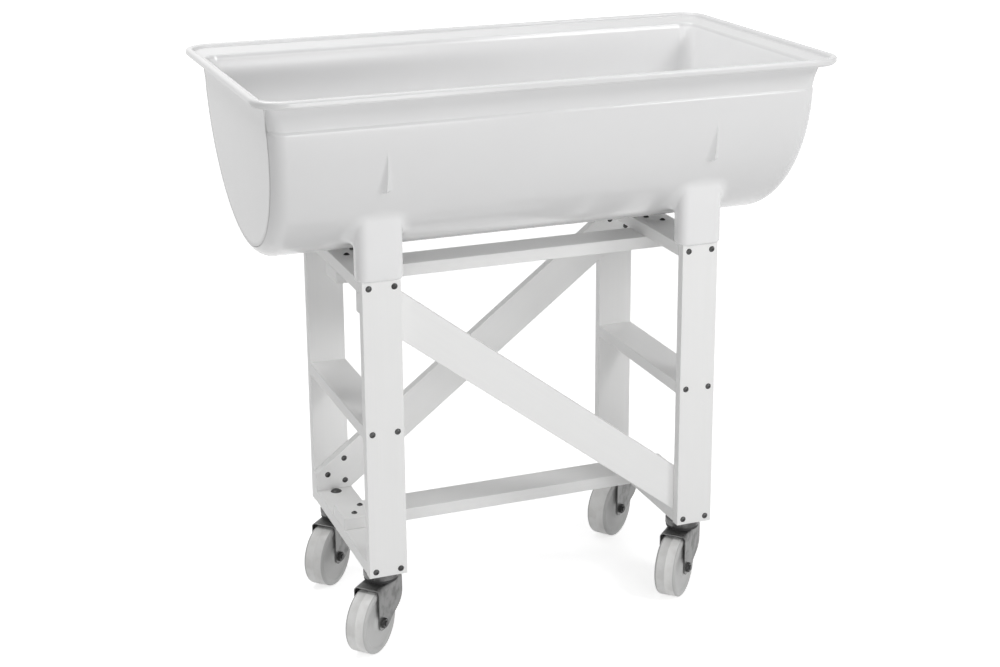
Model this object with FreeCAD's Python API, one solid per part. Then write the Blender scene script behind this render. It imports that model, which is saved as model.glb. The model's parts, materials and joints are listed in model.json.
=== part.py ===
"""Wheeled half-round plastic trough sink on a bolted board stand, lengths in millimetres.

The origin lies on the floor under the middle of the trough. +X runs along the trough,
+Y to its back and +Z up.
"""
import FreeCAD
import Part
import math
import os

# Boards of the stand
end_overhang = 205.0  # rim beyond the outer edges of the legs, along X
side_overhang = 112.5  # rim beyond the outer faces of the legs, along Y
board_width = 75.0
leg_thickness = 20.0
leg_grip = 85.0  # leg above the foot of its boot
rung_thickness = 25.0
rail_thickness = 25.0
brace_thickness = 20.0
brace_width = 75.0
board_easing = 1.5  # rounding of the sawn edges
rung_lift = 2.0  # lowest rung above the leg ends
middle_rung_rise = 278.0  # underside of the rung above the leg ends
brace_inset = 20.0  # brace centre line inside the rungs, at the legs' centre lines

# Screws with domed socket heads
screw_diameter = 6.0
screw_head_diameter = 12.0
screw_head_height = 3.6
screw_socket_width = 5.0
screw_socket_depth = 2.2
screw_length = 50.0
brace_screw_length = 34.0
rail_screw_length = 42.0
screw_inset = 13.0  # screw centre from the board's edge
low_screw_rise = 12.0  # lowest screws above the leg ends
screw_clearance = 0.1
# Places of the three screws at a brace end, from its outer lower corner, as shares of the board width
brace_screw_shares = ((0.80, 0.87), (0.32, 0.45), (0.81, 0.22))
rail_screw_share = 0.22  # screw off the rail's centre line, as a share of the board width
rail_screw_stagger_share = 0.14

# Trough with its flange and rim bead
rim_height = 1110.0
rim_length = 1130.0
rim_width = 638.0
rim_corner_radius = 58.0
bead_width = 13.0
bead_height = 11.5
bead_rise = 9.0  # bead above the flange
bead_rounding = 5.0
flange_inset = 4.0  # flange's edge behind the bead's outer face
side_flange = 45.0  # bead's outer face beyond the side wall just under the flange
end_flange = 29.0  # bead's outer face beyond the end wall just under the flange
trough_wall = 6.0
straight_wall = 79.0  # rim top to the level where the half-round bottom starts
crease_depth = 63.0  # rim top to the crease where the side walls start to flare
side_flare = 6.0  # lean of each side wall between its crease and the flange
end_draft = 20.0  # lean of the end wall over its height
end_rounding = 32.0
mouth_rounding = 9.0

# Moulded boots that sit on the leg tops, and the pointed fins above them
boot_drop = 19.0  # foot of the boots below the underside of the trough
boot_side_wall = 5.5
boot_front_wall = 7.0
boot_back_wall = 20.0
boot_rounding = 12.0
boot_foot_rounding = 4.0
socket_clearance = 0.15
fin_tip_rise = 235.0  # tip above the underside of the trough
fin_length = 74.0
fin_half_width = 15.0
fin_reach = 7.0  # foot of the fin's ridge in front of its tip

# Castors
castor_setback = 32.0  # pivot behind the inner face of the leg
castor_trail = 45.0
wheel_diameter = 125.0
wheel_width = 44.0
wheel_edge_rounding = 4.0
wheel_dish_depth = 3.0
wheel_shoulder = 10.5  # flat ring between the tread and the shallow recess in the wheel's sides
wheel_dish_inner = 44.0  # diameter of the recess at the hub
wheel_hub_width = 47.0
wheel_crown_gap = 5.0  # top of the wheel to the crown
bush_diameter = 17.0
bush_length = 48.6
axle_diameter = 10.0
axle_head_width = 17.0
axle_head_height = 6.5
axle_end = 2.5  # thread beyond the nut
fork_plate = 3.0
fork_inner_width = 49.0
crown_front = 34.0  # crown ahead of the pivot
crown_tail = 58.0  # crown behind the pivot
crown_rounding = 8.0
plate_front_drop = 38.0  # straight front edge of the fork plate under the crown
plate_waist_reach = 66.0  # waist of the plate's front edge ahead of the axle
plate_waist_rise = 10.0
plate_toe_reach = 36.0
plate_toe_drop = 15.5
head_height = 20.8
head_diameter = 68.0
head_step_diameter = 60.0
head_step_height = 9.0
head_rounding = 2.0
ball_diameter = 6.0
ball_circle_diameter = 42.0
ball_count = 16
ball_clearance = 0.1
seal_outer_diameter = 66.0
seal_inner_diameter = 54.0
seal_clearance = 0.4
king_bolt_diameter = 12.0
king_head_diameter = 23.0
king_head_height = 5.0
king_nut_width = 19.0
king_nut_height = 7.0
king_bolt_end = 1.5
running_clearance = 0.05
nut_clearance = 0.3

# Way that each castor's wheel trails at rest, from +X towards +Y, as a share of a full turn
castor_turn_shares = {
    "front_left": 0.6227,
    "front_right": 0.6245,
    "back_left": 0.6273,
    "back_right": 0.6044,
}

cut_overrun = 1.0
hexagon_sides = 6

# Sizes and places worked out from the sizes above
stand_length = rim_length - 2 * end_overhang  # over the outer edges of the legs
stand_width = rim_width - 2 * side_overhang  # over the outer faces of the legs
trough_half_width = rim_width / 2 - side_flange - side_flare  # radius of the half-round bottom
trough_depth = straight_wall + trough_half_width
end_half_length = rim_length / 2 - end_flange  # outer face of the end wall just under the flange
crown_top = wheel_diameter + wheel_crown_gap + fork_plate
head_bottom = crown_top + ball_diameter + 2 * ball_clearance
castor_height = head_bottom + head_height  # floor to the underside of the lowest rung
leg_bottom = castor_height - rung_lift
leg_x = (stand_length - board_width) / 2
leg_outer_y = stand_width / 2
leg_inner_y = leg_outer_y - leg_thickness
low_rung_z = castor_height
middle_rung_z = leg_bottom + middle_rung_rise
flange_top = rim_height - bead_rise
flange_bottom = flange_top - trough_wall
trough_bottom = rim_height - trough_depth
boot_foot_z = trough_bottom - boot_drop
top_rung_z = boot_foot_z - rung_thickness
leg_length = boot_foot_z + leg_grip - leg_bottom
arc_centre_z = trough_bottom + trough_half_width
crease_z = rim_height - crease_depth
axle_z = wheel_diameter / 2
castor_y = leg_inner_y - castor_setback
sides = {"left": -1, "right": 1}
ends = {"front": -1, "back": 1}

X_AXIS = FreeCAD.Vector(1, 0, 0)
Y_AXIS = FreeCAD.Vector(0, 1, 0)
Z_AXIS = FreeCAD.Vector(0, 0, 1)


def vec(x, y, z):
    """Returns a point or direction."""
    return FreeCAD.Vector(x, y, z)


def block(low, high):
    """Returns a box between two corners."""
    size = high.sub(low)
    return Part.makeBox(size.x, size.y, size.z, low)


def prism(points, direction):
    """Returns the solid swept by a closed outline along a direction."""
    wire = Part.makePolygon(list(points) + [points[0]])
    return Part.Face(wire).extrude(direction)


def eased(shape, radius):
    """Returns a shape with all its edges rounded."""
    return shape.makeFillet(radius, shape.Edges)


def is_along(edge, axis):
    """Tells whether a straight edge runs along an axis."""
    if not isinstance(edge.Curve, Part.Line):
        return False
    return abs(edge.Curve.Direction.dot(axis)) > 1 - Part.Precision.angular()


def revolve(profile):
    """Returns the solid turned about Z from (radius, height) points."""
    points = [vec(radius, 0, height) for radius, height in profile]
    face = Part.Face(Part.makePolygon(points + [points[0]]))
    return face.revolve(vec(0, 0, 0), Z_AXIS, 360)


def hexagon(width, height, centre_z):
    """Returns a six-sided prism about Z with a width across its flats."""
    step = 2 * math.pi / hexagon_sides
    corner = width / 2 / math.cos(step / 2)
    turns = [step * index for index in range(hexagon_sides)]
    points = [vec(corner * math.cos(turn), corner * math.sin(turn), centre_z) for turn in turns]
    return prism(points, vec(0, 0, height))


def pointing(shape, place, direction):
    """Returns a shape built about Z, turned so that Z points along a direction, at a place."""
    placed = shape.copy()
    turn = FreeCAD.Rotation(Z_AXIS, direction)
    placed.Placement = FreeCAD.Placement(place, turn)
    return placed


def screw(length):
    """Returns a screw about Z, with its seat at the origin and its head towards +Z."""
    head_radius = screw_head_diameter / 2
    shank = Part.makeCylinder(screw_diameter / 2, length, vec(0, 0, -length))
    dome_radius = (head_radius ** 2 + screw_head_height ** 2) / (2 * screw_head_height)
    dome = Part.makeSphere(dome_radius, vec(0, 0, screw_head_height - dome_radius))
    head = dome.common(Part.makeCylinder(head_radius, screw_head_height))
    socket_floor = screw_head_height - screw_socket_depth
    socket = hexagon(screw_socket_width, screw_socket_depth + cut_overrun, socket_floor)
    return shank.fuse(head).cut(socket).removeSplitter()


def screw_hole(length):
    """Returns the hole for a screw about Z, from just above its seat to just past its point."""
    radius = screw_diameter / 2 + screw_clearance
    depth = length + screw_clearance + cut_overrun
    return Part.makeCylinder(radius, depth, vec(0, 0, -length - screw_clearance))


def placed_all(shape, seats):
    """Returns copies of a shape at each (place, direction)."""
    return [pointing(shape, place, direction) for place, direction in seats]


def leg_screw_seats(side, end):
    """Returns the seats of the six screws through one leg into the rung ends."""
    seats = []
    rung_middle = rung_thickness / 2
    for height in (leg_bottom + low_screw_rise, middle_rung_z + rung_middle, top_rung_z + rung_middle):
        for edge in (-1, 1):
            x = side * leg_x + edge * (board_width / 2 - screw_inset)
            seats.append((vec(x, end * leg_outer_y, height), vec(0, end, 0)))
    return seats


def brace_screw_seats(end):
    """Returns the seats of the six screws through one brace into its two legs."""
    seats = []
    face_y = end * (leg_inner_y - brace_thickness)
    for sign, corner_z in ((-1, low_rung_z + rung_thickness), (1, top_rung_z)):
        for inward, rise in brace_screw_shares:
            x = sign * (stand_length / 2 - inward * board_width)
            seats.append((vec(x * end, face_y, corner_z - sign * rise * board_width), vec(0, -end, 0)))
    return seats


def rail_screw_seats(seat_z):
    """Returns the seats of the four screws that hold a rail, with heads facing up."""
    seats = []
    for side in sides.values():
        for step in (-1, 1):
            x = side * leg_x + step * side * rail_screw_stagger_share * board_width
            seats.append((vec(x, -step * rail_screw_share * board_width, seat_z), Z_AXIS))
    return seats


def leg(side, end):
    """Returns one upright board with its screw holes."""
    x = side * leg_x
    low = vec(x - board_width / 2, min(end * leg_outer_y, end * leg_inner_y), leg_bottom)
    board = eased(block(low, low + vec(board_width, leg_thickness, leg_length)), board_easing)
    holes = placed_all(screw_hole(screw_length), leg_screw_seats(side, end))
    holes += placed_all(screw_hole(brace_screw_length), brace_screw_seats(end))
    return board.cut(holes)


def rung(side, bottom_z):
    """Returns one crosswise board between a front and a back leg."""
    low = vec(side * leg_x - board_width / 2, -leg_inner_y, bottom_z)
    board = block(low, low + vec(board_width, 2 * leg_inner_y, rung_thickness))
    board = board.makeFillet(board_easing, [edge for edge in board.Edges if is_along(edge, Y_AXIS)])
    holes = []
    for end in ends.values():
        holes += placed_all(screw_hole(screw_length), leg_screw_seats(side, end))
    if bottom_z == top_rung_z:
        holes += placed_all(screw_hole(rail_screw_length), rail_screw_seats(top_rung_z + rung_thickness))
    if bottom_z == low_rung_z:
        rail_seats = rail_screw_seats(low_rung_z + rung_thickness + rail_thickness)
        holes += placed_all(screw_hole(rail_screw_length), rail_seats)
        for end in ends.values():
            foot = vec(side * leg_x, end * castor_y, bottom_z - cut_overrun)
            radius = king_bolt_diameter / 2 + screw_clearance
            holes.append(Part.makeCylinder(radius, rung_thickness + 2 * cut_overrun, foot))
    return board.cut(holes)


def rail(bottom_z, seat_z):
    """Returns one lengthwise board that ties the two side frames together."""
    low = vec(-stand_length / 2, -board_width / 2, bottom_z)
    board = block(low, low + vec(stand_length, board_width, rail_thickness))
    board = eased(board, board_easing)
    return board.cut(placed_all(screw_hole(rail_screw_length), rail_screw_seats(seat_z)))


def brace(end):
    """Returns one diagonal board on the inner faces of two legs, trimmed at the rungs and leg edges."""
    low_z = low_rung_z + rung_thickness
    rise = (top_rung_z - brace_inset) - (low_z + brace_inset)
    middle_z = (top_rung_z + low_z) / 2
    slope = math.atan2(rise, 2 * leg_x)
    reach = stand_length
    board = block(vec(-reach, 0, -brace_width / 2), vec(reach, brace_thickness, brace_width / 2))
    board.rotate(vec(0, 0, 0), Y_AXIS, -math.degrees(slope) * end)
    board.translate(vec(0, min(end * leg_inner_y, end * (leg_inner_y - brace_thickness)), middle_z))
    window = block(
        vec(-stand_length / 2, -stand_width, low_z),
        vec(stand_length / 2, stand_width, top_rung_z),
    )
    board = eased(board.common(window), board_easing)
    return board.cut(placed_all(screw_hole(brace_screw_length), brace_screw_seats(end)))


def rounded_plate(half_x, half_y, radius, bottom_z, height):
    """Returns a flat plate with rounded corners about the Z axis."""
    plate = block(vec(-half_x, -half_y, bottom_z), vec(half_x, half_y, bottom_z + height))
    return plate.makeFillet(radius, [edge for edge in plate.Edges if is_along(edge, Z_AXIS)])


def half_round_body(offset, top_z):
    """Returns the half-round solid of the trough, drawn in from its outer faces by an offset."""
    radius = trough_half_width - offset
    flare = side_flare * (top_z - crease_z) / (flange_bottom - crease_z)
    left = vec(0, -radius, arc_centre_z)
    lowest = vec(0, 0, arc_centre_z - radius)
    right = vec(0, radius, arc_centre_z)
    sides_up = [
        right,
        vec(0, radius, crease_z),
        vec(0, radius + flare, top_z),
        vec(0, -radius - flare, top_z),
        vec(0, -radius, crease_z),
        left,
    ]
    outline = [Part.Arc(left, lowest, right).toShape()]
    outline += [Part.makeLine(start, end) for start, end in zip(sides_up, sides_up[1:])]
    log = Part.Face(Part.Wire(outline)).extrude(vec(rim_length, 0, 0))
    log.translate(vec(-rim_length / 2, 0, 0))
    lean = end_draft / (flange_bottom - trough_bottom)
    inset = offset * math.hypot(1, lean)
    top_half = end_half_length - inset + lean * (top_z - flange_bottom)
    foot_z = trough_bottom - cut_overrun
    foot_half = end_half_length - inset - lean * (flange_bottom - foot_z)
    wedge = prism(
        [
            vec(-foot_half, -rim_width, foot_z),
            vec(foot_half, -rim_width, foot_z),
            vec(top_half, -rim_width, top_z),
            vec(-top_half, -rim_width, top_z),
        ],
        vec(0, 2 * rim_width, 0),
    )
    body = log.common(wedge)
    corners = []
    for edge in body.Edges:
        box = edge.BoundBox
        at_end = min(abs(box.XMin), abs(box.XMax)) > foot_half - lean * top_z
        if at_end and box.ZMin < top_z - cut_overrun:
            corners.append(edge)
    return body.makeFillet(end_rounding - offset, corners)


def boot(side, end):
    """Returns the outer block of one moulded boot, reaching up into the trough."""
    half_x = board_width / 2 + boot_side_wall
    front_y = leg_outer_y + boot_front_wall
    back_y = leg_inner_y - boot_back_wall
    ys = sorted((end * front_y, end * back_y))
    x = side * leg_x
    shape = block(vec(x - half_x, ys[0], boot_foot_z), vec(x + half_x, ys[1], arc_centre_z))
    shape = shape.makeFillet(boot_rounding, [edge for edge in shape.Edges if is_along(edge, Z_AXIS)])
    foot = [edge for edge in shape.Edges if edge.BoundBox.ZMax < boot_foot_z + cut_overrun]
    return shape.makeFillet(boot_foot_rounding, foot)


def boot_socket(side, end):
    """Returns the pocket in one boot that receives the leg's top."""
    half_x = board_width / 2 + socket_clearance
    ys = sorted((end * (leg_outer_y + socket_clearance), end * (leg_inner_y - socket_clearance)))
    x = side * leg_x
    low = vec(x - half_x, ys[0], boot_foot_z - cut_overrun)
    high = vec(x + half_x, ys[1], leg_bottom + leg_length + socket_clearance)
    return block(low, high)


def fin(side, end):
    """Returns one pointed fin, from its tip on the wall down to its foot."""
    x = side * leg_x
    tip_z = trough_bottom + fin_tip_rise
    foot_z = tip_z - fin_length
    tip_y = math.sqrt(trough_half_width ** 2 - (arc_centre_z - tip_z) ** 2)
    root_y = math.sqrt(trough_half_width ** 2 - (arc_centre_z - foot_z) ** 2) - trough_wall
    tip = vec(x, end * tip_y, tip_z)
    root = vec(x, end * (root_y - trough_wall), tip_z)
    ridge = vec(x, end * (tip_y + fin_reach), foot_z)
    left = vec(x - fin_half_width, end * root_y, foot_z)
    right = vec(x + fin_half_width, end * root_y, foot_z)
    triangles = (
        (tip, ridge, left),
        (tip, right, ridge),
        (ridge, right, left),
        (root, tip, left),
        (root, right, tip),
        (root, left, right),
    )
    faces = [Part.Face(Part.makePolygon(list(corners) + [corners[0]])) for corners in triangles]
    solid = Part.Solid(Part.makeShell(faces))
    if solid.Volume < 0:
        solid.reverse()
    return solid


def trough():
    """Returns the moulded trough with its flange, rim bead, boots and fins."""
    shell = half_round_body(0, flange_top)
    bead_base = rim_height - bead_height
    flange = rounded_plate(
        rim_length / 2 - flange_inset,
        rim_width / 2 - flange_inset,
        rim_corner_radius - flange_inset,
        flange_bottom,
        trough_wall,
    )
    bead = rounded_plate(rim_length / 2, rim_width / 2, rim_corner_radius, bead_base, bead_height)
    inside = rounded_plate(
        rim_length / 2 - bead_width,
        rim_width / 2 - bead_width,
        rim_corner_radius - bead_width,
        bead_base - cut_overrun,
        bead_height + 2 * cut_overrun,
    )
    bead = bead.cut(inside)
    top_edges = [edge for edge in bead.Edges if edge.BoundBox.ZMin > rim_height - cut_overrun]
    bead = bead.makeFillet(bead_rounding, top_edges)
    parts = [flange, bead]
    for side in sides.values():
        for end in ends.values():
            parts += [boot(side, end), fin(side, end)]
    shell = shell.fuse(parts)
    cuts = [half_round_body(trough_wall, flange_top + cut_overrun)]
    for side in sides.values():
        for end in ends.values():
            cuts.append(boot_socket(side, end))
    shell = shell.cut(cuts).removeSplitter()
    mouth = []
    for edge in shell.Edges:
        box = edge.BoundBox
        level = box.ZMin > flange_top - socket_clearance and box.ZMax < flange_top + socket_clearance
        inner = box.XMin >= -end_half_length and box.XMax <= end_half_length
        if level and inner and max(abs(box.YMin), abs(box.YMax)) <= trough_half_width + side_flare:
            mouth.append(edge)
    return shell.makeFillet(mouth_rounding, mouth)


def castor_head():
    """Returns the fixed upper cup of a castor about its pivot."""
    radius = head_diameter / 2
    step_radius = head_step_diameter / 2
    hole = king_bolt_diameter / 2 + screw_clearance
    step_z = castor_height - head_step_height
    cup = revolve([
        (hole, head_bottom),
        (radius, head_bottom),
        (radius, step_z),
        (step_radius, step_z + (radius - step_radius)),
        (step_radius, castor_height),
        (hole, castor_height),
    ])
    rims = [edge for edge in cup.Edges if edge.BoundBox.XLength > 2 * step_radius + cut_overrun]
    rims = [edge for edge in rims if edge.BoundBox.ZMin > head_bottom + cut_overrun]
    return cup.makeFillet(head_rounding, rims)


def castor_seal():
    """Returns the black ring between the fixed cup and the turning crown."""
    outer = seal_outer_diameter / 2
    inner = seal_inner_diameter / 2
    foot_z = crown_top + seal_clearance
    return revolve([(inner, foot_z), (outer, foot_z), (outer, head_bottom), (inner, head_bottom)])


def castor_balls():
    """Returns the ring of swivel balls."""
    radius = ball_diameter / 2
    centre_z = crown_top + ball_clearance + radius
    balls = []
    for index in range(ball_count):
        turn = 2 * math.pi * index / ball_count
        x = ball_circle_diameter / 2 * math.cos(turn)
        y = ball_circle_diameter / 2 * math.sin(turn)
        balls.append(Part.makeSphere(radius, vec(x, y, centre_z)))
    return Part.makeCompound(balls)


def castor_fork():
    """Returns the pressed steel fork, trailing towards +X."""
    half = fork_inner_width / 2 + fork_plate
    plate_points = [
        vec(-crown_front, -half, crown_top),
        vec(-crown_front, -half, crown_top - plate_front_drop),
        vec(castor_trail - plate_waist_reach, -half, axle_z + plate_waist_rise),
        vec(castor_trail - plate_toe_reach, -half, axle_z),
        vec(castor_trail - plate_toe_reach / 2, -half, axle_z - plate_toe_drop),
        vec(crown_tail, -half, axle_z - plate_toe_drop),
        vec(crown_tail, -half, crown_top),
    ]
    body = prism(plate_points, vec(0, 2 * half, 0))
    lengthwise = [edge for edge in body.Edges if is_along(edge, X_AXIS)]
    crown_edges = [edge for edge in lengthwise if edge.BoundBox.ZMin > crown_top - cut_overrun]
    body = body.makeFillet(crown_rounding, crown_edges)
    channel = block(
        vec(-stand_length, -fork_inner_width / 2, 0),
        vec(stand_length, fork_inner_width / 2, crown_top - fork_plate),
    )
    channel_edges = [edge for edge in channel.Edges if is_along(edge, X_AXIS) and edge.BoundBox.ZMin > 0]
    channel = channel.makeFillet(crown_rounding - fork_plate, channel_edges)
    crosswise = [edge for edge in body.Edges if is_along(edge, Y_AXIS)]
    toes = [edge for edge in crosswise if edge.BoundBox.ZMax < axle_z + cut_overrun]
    body = body.makeFillet(plate_toe_reach / 2 - cut_overrun, toes)
    king_hole = Part.makeCylinder(king_bolt_diameter / 2 + running_clearance, castor_height)
    axle_hole = Part.makeCylinder(
        axle_diameter / 2 + screw_clearance, 4 * half, vec(castor_trail, -2 * half, axle_z), Y_AXIS
    )
    return body.cut([channel, king_hole, axle_hole])


def castor_axle():
    """Returns the axle bolt and its nut, which clamp the fork plates."""
    half = fork_inner_width / 2 + fork_plate
    grip = 2 * half + axle_head_height + axle_end
    bolt = Part.makeCylinder(axle_diameter / 2, grip, vec(0, 0, -half))
    bolt = bolt.fuse(hexagon(axle_head_width, axle_head_height, -half - axle_head_height)).removeSplitter()
    nut = hexagon(axle_head_width, axle_head_height, half)
    bore = Part.makeCylinder(axle_diameter / 2 + screw_clearance, axle_head_height + 2 * cut_overrun)
    bore.translate(vec(0, 0, half - cut_overrun))
    pieces = [bolt, nut.cut(bore)]
    return Part.makeCompound([pointing(piece, vec(castor_trail, 0, axle_z), Y_AXIS) for piece in pieces])


def castor_bush():
    """Returns the tube on the axle that the wheel runs on."""
    outer = Part.makeCylinder(bush_diameter / 2, bush_length, vec(0, 0, -bush_length / 2))
    bore = Part.makeCylinder(axle_diameter / 2 + screw_clearance, 2 * bush_length, vec(0, 0, -bush_length))
    return pointing(outer.cut(bore), vec(castor_trail, 0, axle_z), Y_AXIS)


def castor_wheel():
    """Returns the solid wheel with shallow dished sides and a longer hub."""
    radius = wheel_diameter / 2
    half = wheel_width / 2
    hub = wheel_dish_inner / 2
    hub_half = wheel_hub_width / 2
    dish = radius - wheel_shoulder
    bore = bush_diameter / 2 + running_clearance
    slope = wheel_dish_depth
    disc = revolve([
        (bore, -hub_half),
        (hub - 2 * slope, -hub_half),
        (hub, -half + slope),
        (dish - slope, -half + slope),
        (dish, -half),
        (radius, -half),
        (radius, half),
        (dish, half),
        (dish - slope, half - slope),
        (hub, half - slope),
        (hub - 2 * slope, hub_half),
        (bore, hub_half),
    ])
    rims = [edge for edge in disc.Edges if edge.BoundBox.XLength > wheel_diameter - cut_overrun]
    rims = [edge for edge in rims if edge.BoundBox.ZLength < cut_overrun]
    disc = disc.makeFillet(wheel_edge_rounding, rims)
    return pointing(disc, vec(castor_trail, 0, axle_z), Y_AXIS)


def king_bolt():
    """Returns the castor's domed bolt through the rung, and the nut under the crown."""
    seat_z = castor_height + rung_thickness
    head_radius = king_head_diameter / 2
    dome_radius = (head_radius ** 2 + king_head_height ** 2) / (2 * king_head_height)
    dome = Part.makeSphere(dome_radius, vec(0, 0, seat_z + king_head_height - dome_radius))
    head = dome.common(Part.makeCylinder(head_radius, king_head_height, vec(0, 0, seat_z)))
    nut_top = crown_top - fork_plate - nut_clearance
    foot_z = nut_top - king_nut_height - king_bolt_end
    shank = Part.makeCylinder(king_bolt_diameter / 2, seat_z - foot_z, vec(0, 0, foot_z))
    nut = hexagon(king_nut_width, king_nut_height, nut_top - king_nut_height)
    bore = Part.makeCylinder(king_bolt_diameter / 2 + screw_clearance, castor_height)
    return Part.makeCompound([shank.fuse(head).removeSplitter(), nut.cut(bore)])


def castor_pieces(heading):
    """Returns the pieces of one castor about its pivot, trailing along a heading."""
    fixed = {
        "king_bolt": king_bolt(),
        "head": castor_head(),
        "seal": castor_seal(),
    }
    turning = {
        "balls": castor_balls(),
        "fork": castor_fork(),
        "axle": castor_axle(),
        "bush": castor_bush(),
        "wheel": castor_wheel(),
    }
    for shape in turning.values():
        shape.rotate(vec(0, 0, 0), Z_AXIS, heading)
    return {**fixed, **turning}


def build():
    """Returns every node of the object by its name."""
    nodes = {"trough": trough()}
    for side_name, side in sides.items():
        for end_name, end in ends.items():
            nodes["leg_%s_%s" % (end_name, side_name)] = leg(side, end)
            screws = placed_all(screw(screw_length), leg_screw_seats(side, end))
            nodes["leg_screws_%s_%s" % (end_name, side_name)] = Part.makeCompound(screws)
        nodes["bottom_rung_%s" % side_name] = rung(side, low_rung_z)
        nodes["middle_rung_%s" % side_name] = rung(side, middle_rung_z)
        nodes["top_rung_%s" % side_name] = rung(side, top_rung_z)
    for end_name, end in ends.items():
        nodes["brace_%s" % end_name] = brace(end)
        screws = placed_all(screw(brace_screw_length), brace_screw_seats(end))
        nodes["brace_screws_%s" % end_name] = Part.makeCompound(screws)
    lower_seat = low_rung_z + rung_thickness + rail_thickness
    upper_seat = top_rung_z + rung_thickness
    nodes["lower_rail"] = rail(low_rung_z + rung_thickness, lower_seat)
    nodes["upper_rail"] = rail(top_rung_z - rail_thickness, upper_seat)
    for name, seat_z in (("lower_rail_screws", lower_seat), ("upper_rail_screws", upper_seat)):
        nodes[name] = Part.makeCompound(placed_all(screw(rail_screw_length), rail_screw_seats(seat_z)))
    for side_name, side in sides.items():
        for end_name, end in ends.items():
            corner = "%s_%s" % (end_name, side_name)
            heading = math.degrees(2 * math.pi * castor_turn_shares[corner])
            for piece_name, shape in castor_pieces(heading).items():
                shape.translate(vec(side * leg_x, end * castor_y, 0))
                nodes["castor_%s_%s" % (corner, piece_name)] = shape
    return nodes


def main():
    """Writes one STEP file per node."""
    os.makedirs("parts", exist_ok=True)
    for name, shape in build().items():
        shape.exportStep("parts/%s.step" % name)
        print(name, len(shape.Solids), "solids", "valid" if shape.isValid() else "NOT VALID")


main()
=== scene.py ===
"""Surface, finish and detail of a wheeled half-round trough sink on a bolted board stand, in metres.

The origin lies on the floor under the middle of the trough. +X runs along the trough,
+Y to its back and +Z up.
"""
import bmesh
import bpy
import json
import logging
import math
from dataclasses import dataclass
from enum import Enum
from typing import Callable, Dict, List, Optional, Sequence, Tuple, Union

from bmesh.types import BMEdge, BMesh, BMVert
from bpy.types import Material, NodeSocket, Object, World
from mathutils import Matrix, Vector


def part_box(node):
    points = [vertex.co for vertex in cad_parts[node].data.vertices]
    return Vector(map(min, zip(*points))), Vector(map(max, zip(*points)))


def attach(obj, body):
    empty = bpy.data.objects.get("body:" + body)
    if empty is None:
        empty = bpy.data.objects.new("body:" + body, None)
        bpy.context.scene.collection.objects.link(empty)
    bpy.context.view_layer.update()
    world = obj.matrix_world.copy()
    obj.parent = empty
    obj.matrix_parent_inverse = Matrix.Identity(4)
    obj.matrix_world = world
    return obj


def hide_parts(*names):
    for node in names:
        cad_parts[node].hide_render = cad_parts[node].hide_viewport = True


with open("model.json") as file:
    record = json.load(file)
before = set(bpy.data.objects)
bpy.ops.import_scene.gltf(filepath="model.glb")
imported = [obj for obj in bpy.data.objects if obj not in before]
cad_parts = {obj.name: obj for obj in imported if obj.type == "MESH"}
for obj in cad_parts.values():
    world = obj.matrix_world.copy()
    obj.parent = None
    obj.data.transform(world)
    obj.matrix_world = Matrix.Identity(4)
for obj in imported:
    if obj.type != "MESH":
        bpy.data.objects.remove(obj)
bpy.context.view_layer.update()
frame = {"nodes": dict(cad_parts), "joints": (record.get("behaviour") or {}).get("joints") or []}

Colour = Tuple[float, float, float]
Number = Union[float, "Wire"]
Pair = Tuple[float, float]
MERGE_DISTANCE = 1e-6
# Marks the faces painted paler as painted light: the trough's inner face and its boots.
PAINTED_LIGHT_MARK = "painted_light_face"
QUARTER = tuple(range(0, 91, 15))
RAY_KINDS = ("Camera", "Glossy", "Transmission")
CORNERS = ("front_left", "front_right", "back_left", "back_right")
logger = logging.getLogger("trough_sink")


class Axis(Enum):
    """The direction that a board's planing marks follow."""

    LENGTH = 0
    DEPTH = 1
    HEIGHT = 2


class Wire:
    """One value in a shader. Arithmetic on it adds the Math nodes that work it out."""

    def __init__(self, graph: "ShaderGraph", socket: NodeSocket) -> None:
        """Holds the graph and the socket that carries the value."""
        self.graph = graph
        self.socket = socket

    def maths(self, operation: str, first: Number, second: Number = 0.0) -> "Wire":
        """Returns the value of a new Math node that works on two operands."""
        return self.graph.node("ShaderNodeMath", {"operation": operation}, {0: first, 1: second})

    def __add__(self, other: Number) -> "Wire":
        """Adds."""
        return self.maths("ADD", self, other)

    def __radd__(self, other: Number) -> "Wire":
        """Adds, from the right."""
        return self.maths("ADD", other, self)

    def __sub__(self, other: Number) -> "Wire":
        """Subtracts."""
        return self.maths("SUBTRACT", self, other)

    def __rsub__(self, other: Number) -> "Wire":
        """Subtracts, from the right."""
        return self.maths("SUBTRACT", other, self)

    def __mul__(self, other: Number) -> "Wire":
        """Multiplies."""
        return self.maths("MULTIPLY", self, other)

    def __rmul__(self, other: Number) -> "Wire":
        """Multiplies, from the right."""
        return self.maths("MULTIPLY", other, self)

    def __pow__(self, other: Number) -> "Wire":
        """Raises to a power."""
        return self.maths("POWER", self, other)

    def sine(self) -> "Wire":
        """Returns the sine."""
        return self.maths("SINE", self)

    def magnitude(self) -> "Wire":
        """Returns the value without its sign."""
        return self.maths("ABSOLUTE", self)

    def lowest(self, other: Number) -> "Wire":
        """Returns the smaller of two values."""
        return self.maths("MINIMUM", self, other)

    def highest(self, other: Number) -> "Wire":
        """Returns the larger of two values."""
        return self.maths("MAXIMUM", self, other)

    def parts(self) -> Tuple["Wire", ...]:
        """Returns the three parts of a place."""
        return tuple(self.graph.node("ShaderNodeSeparateXYZ", {}, {0: self}, axis) for axis in "XYZ")

    def spread(self, low: float, high: float) -> "Wire":
        """Returns 0 below one value, 1 above another and a smooth change between them."""
        sockets = {"Value": self, "From Min": low, "From Max": high}
        return self.graph.node("ShaderNodeMapRange", {"interpolation_type": "SMOOTHSTEP"}, sockets)


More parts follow.
